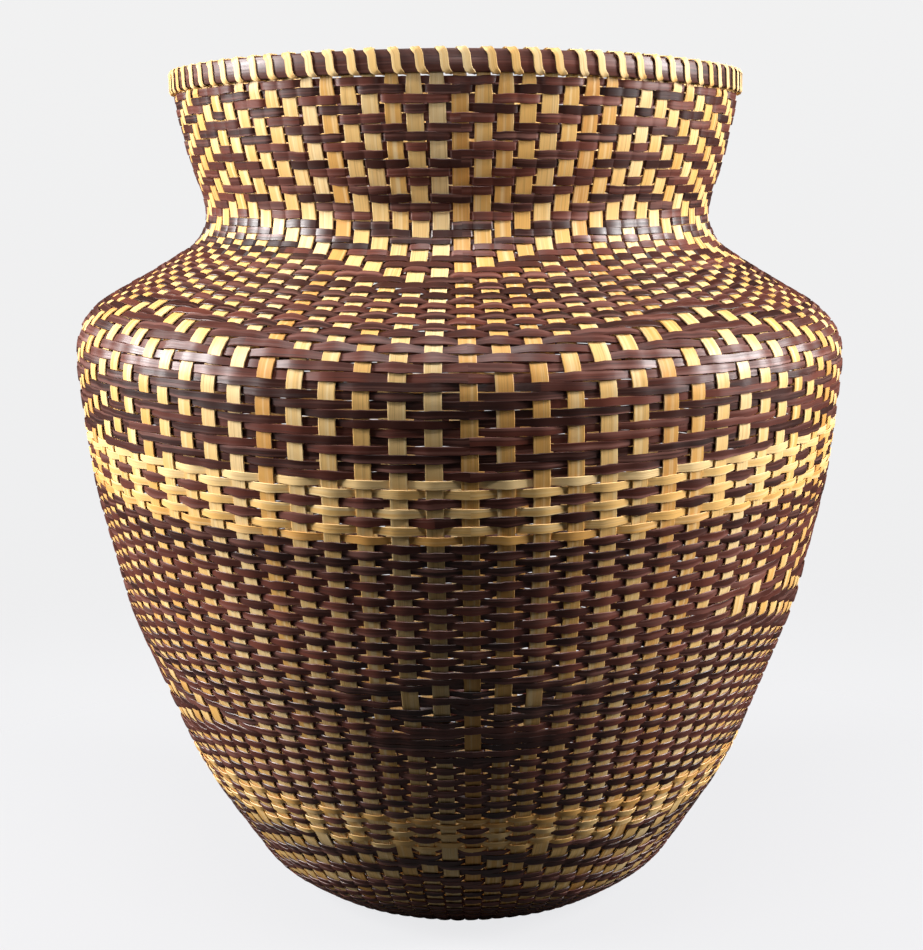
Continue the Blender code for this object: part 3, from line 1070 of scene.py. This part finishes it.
def add_world():
    """Backdrop a little darker low down, and a weak even fill for the light."""
    world = bpy.data.worlds.new("studio")
    bpy.context.scene.world = world
    world.use_nodes = True
    tree = world.node_tree
    tree.nodes.clear()
    out = tree.nodes.new("ShaderNodeOutputWorld")
    way = tree.nodes.new("ShaderNodeTexCoord")
    parts = tree.nodes.new("ShaderNodeSeparateXYZ")
    tree.links.new(way.outputs["Generated"], parts.inputs[0])
    ramp = tree.nodes.new("ShaderNodeValToRGB")
    ramp.color_ramp.elements[0].position = 0.0
    ramp.color_ramp.elements[0].color = (0.845, 0.845, 0.855, 1.0)
    ramp.color_ramp.elements[1].position = 1.0
    ramp.color_ramp.elements[1].color = (0.880, 0.880, 0.883, 1.0)
    height = tree.nodes.new("ShaderNodeMapRange")
    height.inputs["From Min"].default_value = -0.42
    height.inputs["From Max"].default_value = 0.08
    tree.links.new(parts.outputs["Z"], height.inputs["Value"])
    tree.links.new(height.outputs["Result"], ramp.inputs["Fac"])
    seen = tree.nodes.new("ShaderNodeBackground")
    tree.links.new(ramp.outputs["Color"], seen.inputs["Color"])
    fill = tree.nodes.new("ShaderNodeBackground")
    fill.inputs["Color"].default_value = (1.0, 1.0, 1.0, 1.0)
    fill.inputs["Strength"].default_value = 0.01
    path = tree.nodes.new("ShaderNodeLightPath")
    chosen = tree.nodes.new("ShaderNodeMixShader")
    tree.links.new(path.outputs["Is Camera Ray"], chosen.inputs[0])
    tree.links.new(fill.outputs[0], chosen.inputs[1])
    tree.links.new(seen.outputs[0], chosen.inputs[2])
    tree.links.new(chosen.outputs[0], out.inputs["Surface"])


def add_lamp(data, place, aim):
    """Hang a lamp here and turn it towards the aim."""
    lamp = bpy.data.objects.new(data.name, data)
    bpy.context.scene.collection.objects.link(lamp)
    lamp.location = place
    x, y, z = np.array(aim) - np.array(place)
    lamp.rotation_euler = (math.atan2(math.hypot(x, y), -z), 0.0, math.atan2(-x, y))


def add_softbox(name, place, aim, width, height, power):
    data = bpy.data.lights.new(name, "AREA")
    data.shape = "RECTANGLE"
    data.size, data.size_y = width, height
    data.energy = power
    add_lamp(data, place, aim)


def add_neck_lamp():
    """A weak soft spot from the front, mainly for the neck, which the softboxes leave dark."""
    data = bpy.data.lights.new("neck_lamp", "SPOT")
    data.energy = 26.0
    data.spot_size = math.radians(13.0)
    data.spot_blend = 1.0
    data.shadow_soft_size = 0.12
    add_lamp(data, (0.0, -1.60, 0.75), (0.0, -0.16, 0.48))


# The camera's values come from a fit to the level rings of the weave, for the photo's 923 x 950 frame
FOCAL_PIXELS = 1746.1
IMAGE_WIDTH = 923
CAMERA_DISTANCE = 1.0942
CAMERA_HEIGHT = 0.4544
CAMERA_PITCH = math.radians(10.182)
CAMERA_ROLL = math.radians(-0.873)
CAMERA_AZIMUTH = math.radians(1.2)


def add_camera():
    data = bpy.data.cameras.new("photo_camera")
    data.sensor_fit = "HORIZONTAL"
    data.sensor_width = 36.0
    data.lens = FOCAL_PIXELS / IMAGE_WIDTH * data.sensor_width
    data.clip_start = 0.05
    camera = bpy.data.objects.new("photo_camera", data)
    bpy.context.scene.collection.objects.link(camera)
    x = CAMERA_DISTANCE * math.sin(CAMERA_AZIMUTH)
    y = -CAMERA_DISTANCE * math.cos(CAMERA_AZIMUTH)
    camera.matrix_world = (
        Matrix.Translation((x, y, CAMERA_HEIGHT))
        @ Matrix.Rotation(CAMERA_AZIMUTH, 4, "Z")
        @ Matrix.Rotation(math.pi / 2 - CAMERA_PITCH, 4, "X")
        @ Matrix.Rotation(CAMERA_ROLL, 4, "Z")
    )
    bpy.context.scene.camera = camera


add_floor()
add_world()
add_softbox("left_softbox", (-1.48, -0.16, 0.85), (0, 0, 0.34), 0.5, 0.8, 60.0)
add_softbox("right_softbox", (1.48, -0.16, 0.85), (0, 0, 0.34), 0.5, 0.8, 52.0)
add_softbox("top_softbox", (0.0, -0.75, 1.75), (0, 0, 0.45), 0.9, 0.4, 18.0)
add_neck_lamp()
add_camera()

bpy.context.scene.view_settings.view_transform = "Standard"

bpy.context.view_layer.update()
